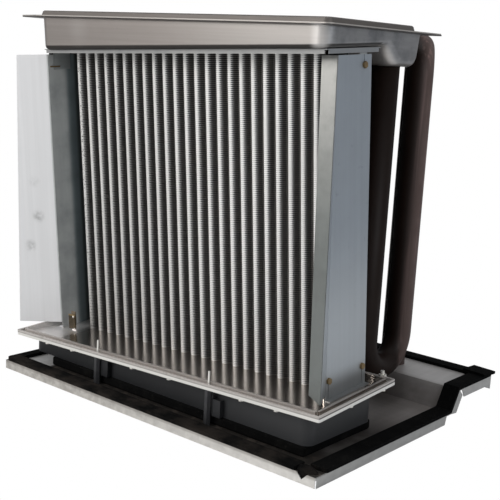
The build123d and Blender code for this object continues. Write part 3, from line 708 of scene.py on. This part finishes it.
def foam_black():
    """Closed-cell foam: matte black with fine pores, dusty along the front."""
    f = Finish("foam_black", (0.0022, 0.0022, 0.0022), 0.97, 0.0)
    f.dull(0.06)
    f.layer(f.cloud(45.0, 0.6, 0.12), 0.5, (0.008, 0.0075, 0.007))
    f.layer(f.cloud(260.0, 0.66, 0.08), 0.35, (0.03, 0.028, 0.026))
    dust = f.times(f.along("Y", -0.20, -0.206), f.cloud(28.0, 0.52, 0.14))
    f.layer(dust, 0.5, (0.032, 0.026, 0.022))
    f.bump(f.cloud(420.0, 0.5, 0.25), 0.35, 0.0006)
    return f.done()


def collector_plastic():
    """The collector: near-black moulded plastic with a fine texture."""
    f = Finish("collector_plastic", (0.0085, 0.0088, 0.0100), 0.42, 0.0)
    f.dull(0.28)
    f.layer(f.cloud(18.0, 0.55, 0.2), 0.4, (0.013, 0.0135, 0.0145), 0.5)
    f.layer(f.along("X", 0.0, 0.24), 0.9, (0.030, 0.0305, 0.032), 0.42)
    f.bump(f.cloud(600.0, 0.5, 0.3), 0.12, 0.0002)
    return f.done()


def yellow_zinc():
    """Passivated screws and clips."""
    f = Finish("yellow_zinc", (0.25, 0.18, 0.09), 0.38, 0.8, True)
    f.layer(f.cloud(260.0, 0.5, 0.2), 0.6, (0.18, 0.115, 0.055), 0.55)
    return f.done()


def burnt_clip():
    """The clip on the coil's ear: brown spring steel with a golden edge."""
    f = Finish("burnt_clip", (0.05, 0.038, 0.022), 0.4, 0.7, True)
    f.layer(f.along("Z", 0.024, 0.026), 0.9, (0.30, 0.22, 0.11), 0.35)
    f.layer(f.cloud(180.0, 0.55, 0.1), 0.5, (0.16, 0.12, 0.06), 0.45)
    return f.done()


def bright_zinc():
    """Bright screws, studs and nuts."""
    f = Finish("bright_zinc", (0.72, 0.70, 0.65), 0.3, 0.8, True)
    f.layer(f.cloud(300.0, 0.55, 0.2), 0.5, (0.40, 0.37, 0.33), 0.5)
    return f.done()


def dark_stud():
    """The studs: dull dark steel below the frame, bright thread above it."""
    f = Finish("dark_stud", (0.055, 0.055, 0.058), 0.4, 0.6, True)
    f.layer(f.cloud(90.0, 0.5, 0.2), 0.6, (0.025, 0.025, 0.027), 0.5)
    f.layer(f.along("Z", -0.002, 0.001), 1.0, (0.78, 0.76, 0.72), 0.3)
    return f.done()


for build in (
    burnt_tube,
    fin_aluminium,
    crest_aluminium,
    fin_shadow,
    foam_black,
    collector_plastic,
    yellow_zinc,
    burnt_clip,
    bright_zinc,
    dark_stud,
):
    finishes[build.__name__] = build()
print("finishes:", len(finishes))

# %% [markdown]
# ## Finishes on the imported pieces
# These keep their own shape and only take a better material.

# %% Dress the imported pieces
dressed = {
    "vest_panel": "panel_zinc",
    "gasket_front": "foam_black",
    "gasket_back": "foam_black",
    "gasket_left": "foam_black",
    "gasket_right": "foam_black",
    "gasket_patch": "foam_black",
    "collector_seal": "foam_black",
    "condensate_collector": "collector_plastic",
    "mounting_studs": "dark_stud",
    "sheet_frame": "bright_rim",
    "lower_tube_sheet": "mirror_stainless",
    "upper_tube_sheet": "pale_sheet",
    "baffle_left": "flare_zinc",
    "baffle_right": "baffle_zinc",
    "baffle_screws": "yellow_zinc",
    "frame_screws": "bright_zinc",
    "header_pan": "taupe_stainless",
    "header_cover": "cover_stainless",
}
for node_name, finish_name in dressed.items():
    mesh = nodes[node_name].data
    mesh.materials.clear()
    mesh.materials.append(finishes[finish_name])
print("dressed", len(dressed), "packed pieces")


# %% [markdown]
# ## Making a new piece
# Each new shape is built in a bmesh in the part's own place, then becomes an object that sits
# at the origin and rides on the part.


# %% Helpers for new pieces
def new_verts(result):
    """The vertices that a bmesh operator has just made."""
    return [v for v in result["geom"] if isinstance(v, bmesh.types.BMVert)]


def new_edges(result, made="geom"):
    """The edges that a bmesh operator has just made."""
    return [e for e in result[made] if isinstance(e, bmesh.types.BMEdge)]


def repeat(shape, count, step):
    """Repeats a whole bmesh, so that it stands count times in a row."""
    unit = shape.verts[:] + shape.edges[:] + shape.faces[:]
    for i in range(1, count):
        copy = bmesh.ops.duplicate(shape, geom=unit)
        bmesh.ops.translate(shape, verts=new_verts(copy), vec=i * Vector(step))


def new_piece(name, shape, finish, stands_for=(), smooth=False):
    """Turns a finished bmesh into a piece of the object."""
    mesh = bpy.data.meshes.new(name)
    shape.to_mesh(mesh)
    shape.free()
    mesh.materials.append(finishes[finish])
    for face in mesh.polygons:
        face.use_smooth = smooth
    piece = bpy.data.objects.new(name, mesh)
    bpy.context.collection.objects.link(piece)
    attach(piece, "root")
    if stands_for:
        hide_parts(*stands_for)
    print(name, len(mesh.polygons), "faces")
    return piece


# %% [markdown]
# ## The fins
# Thin plates are stacked up the coil. Their front edges are rippled, so that the crests line
# up into bright columns with near-black valleys between. One ripple of one plate is drawn once:
# its front edge is an arc between two straight flanks. It is then repeated along the plate, and
# the plate up the coil.

# %% One ripple of a fin
ripple_count = 23
ripple_pitch = 0.02055
ripple_depth = 0.009
crest_half = 0.0046
crest_height = 0.0032
valley_half = 0.0024
pack_depth = 0.063
pack_height = 0.444
fin_pitch = 0.00262
fin_thickness = 0.00125
fin_count = int(pack_height / fin_pitch)
ripples_start = -(ripple_count - 1) / 2 * ripple_pitch
crest_radius = (crest_half**2 + crest_height**2) / (2 * crest_height)


def ripple_outline():
    """The front edge of one ripple, from valley to valley, with y into the coil."""
    half = ripple_pitch / 2
    points = [(-half, ripple_depth), (-half + valley_half, ripple_depth)]
    half_angle = math.asin(crest_half / crest_radius)
    steps = 6
    for i in range(steps + 1):
        angle = -half_angle + 2 * half_angle * i / steps
        points.append((crest_radius * math.sin(angle), crest_radius * (1 - math.cos(angle))))
    points.append((half - valley_half, ripple_depth))
    points.append((half, ripple_depth))
    return points


def fin_stack(first, last):
    """A run of fins as one bmesh, in the coil's own axes."""
    half = ripple_pitch / 2
    shape = bmesh.new()
    edge_mask = shape.faces.layers.float.new("fin_edge")
    front = [shape.verts.new((x, y, 0)) for x, y in ripple_outline()]
    back = [shape.verts.new((x, pack_depth, 0)) for x in (half, -half)]
    shape.faces.new(front + back)
    raised = bmesh.ops.extrude_face_region(shape, geom=shape.faces[:])
    bmesh.ops.translate(shape, verts=new_verts(raised), vec=(0, 0, fin_thickness))
    shape.normal_update()
    # the finish paints the thin edges of the fins by this mask
    for face in shape.faces:
        face[edge_mask] = 1.0 if abs(face.normal.z) < 0.5 else 0.0
    # where one ripple joins the next there is no wall
    joins = [
        f
        for f in shape.faces
        if abs(f.normal.x) > 0.99 and abs(f.calc_center_median().x) > 0.98 * half
    ]
    bmesh.ops.delete(shape, geom=joins, context="FACES_ONLY")
    repeat(shape, ripple_count, (ripple_pitch, 0, 0))
    bmesh.ops.translate(shape, verts=shape.verts[:], vec=(ripples_start, 0, 0))
    bmesh.ops.remove_doubles(shape, verts=shape.verts[:], dist=1e-6)
    bmesh.ops.translate(shape, verts=shape.verts[:], vec=(0, 0, first * fin_pitch))
    repeat(shape, last - first, (0, 0, fin_pitch))
    return shape


# %% The stack of fins
stack_size = 57
for number, first in enumerate(range(0, fin_count, stack_size), 1):
    last = min(first + stack_size, fin_count)
    stack = fin_stack(first, last)
    bmesh.ops.recalc_face_normals(stack, faces=stack.faces[:])
    stack.transform(coil_axes)
    replaced = ("fin_pack",) if number == 1 else ()
    new_piece(f"fins_{number}", stack, "fin_aluminium", replaced)

# %% [markdown]
# The fins' front edges are folded over one another, so each crest reads as one bright band. The
# band is a thin strip set just inside the crests' arc. A dark core stands between the plates.

# %% Crest bands and core
band_radius = crest_radius - 0.00012
band_half_angle = math.radians(38)
band_steps = 8
band_gap = 0.0006
crests = bmesh.new()
strip_edge = []
for i in range(band_steps + 1):
    angle = band_half_angle * (2 * i / band_steps - 1)
    x = band_radius * math.sin(angle)
    y = crest_radius - band_radius * math.cos(angle)
    strip_edge.append(crests.verts.new((x, y, band_gap)))
edges = [crests.edges.new(pair) for pair in zip(strip_edge, strip_edge[1:])]
strip = bmesh.ops.extrude_edge_only(crests, edges=edges)
band_height = pack_height - 0.0016
bmesh.ops.translate(crests, verts=new_verts(strip), vec=(0, 0, band_height))
repeat(crests, ripple_count, (ripple_pitch, 0, 0))
bmesh.ops.translate(crests, verts=crests.verts[:], vec=(ripples_start, 0, 0))
crests.transform(coil_axes)
new_piece("fin_crests", crests, "crest_aluminium", smooth=True)

core_side_margin = 0.0015
core_front_margin = 0.004
core_top_margin = 0.001
core_size = (
    ripple_count * ripple_pitch - 2 * core_side_margin,
    pack_depth - ripple_depth - 2 * core_front_margin,
    pack_height - 2 * core_top_margin,
)
core_y = ripple_depth + core_front_margin + core_size[1] / 2
core = bmesh.new()
bmesh.ops.create_cube(core, size=1, matrix=Matrix.Diagonal((*core_size, 1)))
core.transform(coil_axes @ Matrix.Translation((0, core_y, pack_height / 2)))
new_piece("fin_core", core, "fin_shadow")

# %% [markdown]
# ## The header pan
# The pan is drawn from one sheet, so all its corners are round. It is lofted from end to end:
# each section holds the front wall, the shelf on the coil, a soft step down to the tube pocket
# and the round back. Near its ends the sections shrink along a quarter circle.

# %% Header pan
header_left = -0.3000
header_right = 0.24307
header_front = -0.17397
header_back = 0.04603
header_rim = 0.53517
rim_gauge = 0.0015
rim_reach = 0.006
rim_reach_back = 0.040
rim_reach_left = 0.0594
rim_cut = 0.012
pocket_floor = 0.4912
step_front = -0.046
step_back = -0.013
draft = math.tan(math.radians(3))
sheet_gauge = 0.0012
coil_upward = (coil_axes.to_3x3() @ Vector((0, 0, 1))).normalized()
coil_top = coil_axes @ Vector((0, 0, pack_height + sheet_gauge))


def shelf_height(x, y):
    """Height of the coil's upper tube sheet under a point."""
    across = coil_upward.x * (x - coil_top.x) + coil_upward.y * (y - coil_top.y)
    return coil_top.z - across / coil_upward.z


def quarter(steps, first=0):
    """Angles over a quarter turn."""
    return [math.pi / 2 * i / steps for i in range(first, steps + 1)]


def pan_section(x, inset, lift):
    """The pan's outer line at one place along it, from the front rim to the back rim."""
    toe = 0.005
    turn_radius = 0.013
    front = header_front + inset
    back = header_back - inset
    low = shelf_height(x, header_front) + lift
    front_foot = front + (header_rim - low) * draft
    line = [(front, header_rim), (front_foot - 0.0002, low + toe)]
    for angle in quarter(4, first=1):
        line.append((front_foot + toe * (1 - math.cos(angle)), low + toe * (1 - math.sin(angle))))
    start = step_front + inset * 0.4
    end = step_back + inset
    shelf = shelf_height(x, start) + lift
    floor = pocket_floor + lift
    line.append((start, shelf))
    for i in range(1, 11):
        share = i / 10
        ease = share * share * (3 - 2 * share)
        line.append((start + (end - start) * share, shelf + (floor - shelf) * ease))
    back_foot = back - (header_rim - floor) * draft
    for angle in quarter(6):
        turn_y = back_foot - turn_radius * (1 - math.sin(angle))
        line.append((turn_y, floor + turn_radius * (1 - math.cos(angle))))
    line.append((back, header_rim))
    return line


def pan_loft():
    """The drawn pan: sections skinned from the left end to the right end."""
    corner = 0.018
    lower_corner = 0.009
    ends = []
    for angle in reversed(quarter(8)):
        inset = 1 - math.sin(angle)
        ends.append((corner * (1 - math.cos(angle)), corner * inset, lower_corner * inset))
    rows = [(header_left, 1, *end) for end in reversed(ends)]
    rows += [(header_right, -1, *end) for end in ends]
    shape = bmesh.new()
    rings = []
    for end_x, inward, run, inset, lift in rows:
        ring = []
        for y, z in pan_section(end_x, inset, lift):
            x = end_x + inward * (run + (header_rim - z) * draft)
            ring.append(shape.verts.new((x, y, z)))
        rings.append(ring)
    for this, following in zip(rings, rings[1:]):
        for a, b, c, d in zip(this, this[1:], following[1:], following):
            shape.faces.new((a, b, c, d))
    shape.faces.new(rings[0])
    shape.faces.new(rings[-1])
    return shape


def rim_plate():
    """The flat rim round the pan's mouth, wider at the left and the back."""
    corners = [
        (header_left - rim_reach_left, header_front + rim_cut),
        (header_left, header_front - rim_reach),
        (header_right + rim_reach, header_front - rim_reach),
        (header_right + rim_reach, header_back + rim_reach_back),
        (header_left - rim_reach_left, header_back + rim_reach_back),
    ]
    shape = bmesh.new()
    ring = [shape.verts.new((x, y, header_rim)) for x, y in corners]
    shape.faces.new(ring)
    bmesh.ops.bevel(
        shape, geom=shape.verts[:], offset=0.008, segments=5, affect="VERTICES", profile=0.5
    )
    raised = bmesh.ops.extrude_face_region(shape, geom=shape.faces[:])
    bmesh.ops.translate(shape, verts=new_verts(raised), vec=(0, 0, rim_gauge))
    return shape


pan = pan_loft()
rim_mesh = bpy.data.meshes.new("rim_scratch")
rim_shape = rim_plate()
rim_shape.to_mesh(rim_mesh)
rim_shape.free()
pan.from_mesh(rim_mesh)
bpy.data.meshes.remove(rim_mesh)
bmesh.ops.recalc_face_normals(pan, faces=pan.faces[:])
pan_piece = new_piece(
    "drawn_pan", pan, "taupe_stainless", ("header_pan",), smooth=True
)
weighted = pan_piece.modifiers.new("even_normals", "WEIGHTED_NORMAL")
weighted.keep_sharp = True

# %% [markdown]
# ## The primary tubes
# Each tube is bent in one plane, then in another. A ring of points is carried along: extruded
# down the straight runs and spun round the bends, which is how a tube bender works as well. The
# burner ports among the part's mounts give the places of the tubes' feet.

# %% Tube route
tube_radius = 0.01905
tube_sides = 40
bend_steps = 24
outlet_pitch = 0.110
outlet_y = 0.007
return_y = 0.098
low_bend_z = 0.1072
high_bend_z = 0.4790
tube_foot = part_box("primary_tube_1")[0][2]
bore_share = 0.934
bore_depth = 0.04
ports = {m["name"]: m["pos_m"] for m in frame["record"]["mounts"] if "burner_port" in m["name"]}
print("ports at x", [place[0] for place in ports.values()])


def carry(shape, ring, vector):
    """Extrudes the ring of edges straight and gives back the new ring."""
    result = bmesh.ops.extrude_edge_only(shape, edges=ring)
    bmesh.ops.translate(shape, verts=new_verts(result), vec=vector)
    return new_edges(result)


def bend(shape, ring, middle, axis):
    """Spins the ring through a half turn and gives back its last ring."""
    result = bmesh.ops.spin(
        shape,
        geom=ring,
        cent=middle,
        axis=axis,
        angle=math.pi,
        steps=bend_steps,
        use_duplicate=False,
    )
    return new_edges(result, "geom_last")


def bent_tube(outlet, back, port):
    """One tube, from the header down, up again and down to its burner port."""
    tube = bmesh.new()
    top = Matrix.Translation((outlet.x, outlet.y, pocket_floor))
    bmesh.ops.create_circle(tube, segments=tube_sides, radius=tube_radius, matrix=top)
    ring = carry(tube, tube.edges[:], (0, 0, low_bend_z - pocket_floor))
    low_middle = (outlet + back) / 2 + Vector((0, 0, low_bend_z))
    ring = bend(tube, ring, low_middle, (1, 0, 0))
    ring = carry(tube, ring, (0, 0, high_bend_z - low_bend_z))
    high_middle = (back + port) / 2 + Vector((0, 0, high_bend_z))
    across = (port - back).normalized()
    ring = bend(tube, ring, high_middle, Vector((0, 0, 1)).cross(across))
    ring = carry(tube, ring, (0, 0, tube_foot - high_bend_z))
    # the wall turns in at the foot, up the open bore
    inner = carry(tube, ring, (0, 0, 0))
    inner_verts = list({v for e in inner for v in e.verts})
    foot = Matrix.Translation(-port - Vector((0, 0, tube_foot)))
    bmesh.ops.scale(tube, verts=inner_verts, vec=(bore_share, bore_share, 1), space=foot)
    carry(tube, inner, (0, 0, bore_depth))
    bmesh.ops.holes_fill(tube, edges=tube.edges[:], sides=tube_sides)
    bmesh.ops.recalc_face_normals(tube, faces=tube.faces[:])
    return tube


# %% Bend the tubes
middle_x = ports["burner_port_3"][0]
for number in range(1, 6):
    port_x, port_y = ports[f"burner_port_{number}"][:2]
    outlet_x = middle_x + (number - 3) * outlet_pitch
    outlet = Vector((outlet_x, outlet_y, 0))
    back = Vector((outlet_x, return_y, 0))
    port = Vector((port_x, port_y, 0))
    new_piece(
        f"bent_tube_{number}",
        bent_tube(outlet, back, port),
        "burnt_tube",
        (f"primary_tube_{number}",),
        smooth=True,
    )

# %% [markdown]
# ## Small things
# A foam lump that droops into the drain notch, a dark strip at the top left of the fins, the
# seal under the collector, the collector's feet, a stud with its nut on the frame, and clips on
# the coil's left ear and the left baffle.


# %% Small things
def block(size, middle, axes=Matrix.Identity(4), soften=0.0):
    """A box, which may have softened edges."""
    shape = bmesh.new()
    place = axes @ Matrix.Translation(middle)
    bmesh.ops.create_cube(shape, size=1, matrix=place @ Matrix.Diagonal((*size, 1)))
    if soften:
        bmesh.ops.bevel(
            shape, geom=shape.edges[:], offset=soften, segments=2, affect="EDGES", profile=0.5
        )
    return shape


def drum(radius, height, middle, sides):
    """A drum upright on the coil's axes; with six sides it is a nut."""
    shape = bmesh.new()
    bmesh.ops.create_cone(
        shape,
        cap_ends=True,
        segments=sides,
        radius1=radius,
        radius2=radius,
        depth=height,
        matrix=coil_axes @ Matrix.Translation(middle),
    )
    return shape


lump_half_size = Vector((0.0165, 0.0086, 0.0098))
lump_spot = Vector((0.2835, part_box("vest_panel")[0][1] + 0.0106, -0.0012))
lump = bmesh.new()
bmesh.ops.create_icosphere(lump, subdivisions=3, radius=1)
for vertex in lump.verts:
    rough = 1 + 0.16 * noise.noise(vertex.co * 2.3)
    vertex.co = vertex.co * lump_half_size * rough
bmesh.ops.translate(lump, verts=lump.verts[:], vec=lump_spot)
new_piece("foam_lump", lump, "foam_black", smooth=True)

# a thin plate in the shade colour, which closes a gap at the top left of the fins
filler = block((0.0008, 0.088, 0.0078), (-0.2652, 0.0205, 0.4405), coil_axes)
new_piece("left_top_strip", filler, "fin_shadow")

# the seal stops short at its left end, where the panel shows bare
seal_low, seal_high = (Vector(corner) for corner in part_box("collector_seal"))
seal_low.x = -0.2385
seal = block(seal_high - seal_low, (seal_low + seal_high) / 2, soften=0.003)
new_piece("seal_foam", seal, "foam_black", ("collector_seal",))

foot_y = -0.1815
for number, x in enumerate((0.1917, 0.2031, -0.2021), 1):
    foot = block((0.006, 0.005, 0.011), (x, foot_y, 0.0068), soften=0.0008)
    new_piece(f"collector_foot_{number}", foot, "collector_plastic")

nut_x, nut_y = 0.281, 0.0802
nut = drum(0.0052, 0.0065, (nut_x, nut_y, 0.0058), 6)
tip = drum(0.0028, 0.011, (nut_x, nut_y, 0.0085), 16)
new_piece("corner_nut", nut, "bright_zinc")
new_piece("corner_stud", tip, "bright_zinc")

ear_clip = block((0.015, 0.0016, 0.024), (-0.2385, -0.0282, 0.0150), coil_axes, 0.0004)
new_piece("ear_clip", ear_clip, "burnt_clip")
for number, spot in enumerate(((-0.232, -0.0295, 0.0042), (-0.2335, -0.0295, 0.024)), 1):
    bead = bmesh.new()
    bead_place = coil_axes @ Matrix.Translation(spot)
    bmesh.ops.create_icosphere(bead, subdivisions=2, radius=0.0018, matrix=bead_place)
    new_piece(f"ear_bead_{number}", bead, "bright_zinc", smooth=True)

clip = block((0.0022, 0.019, 0.0022), (-0.2645, -0.0135, 0.4185), coil_axes, 0.0004)
new_piece("left_clip", clip, "yellow_zinc")

# %% End
print("done")
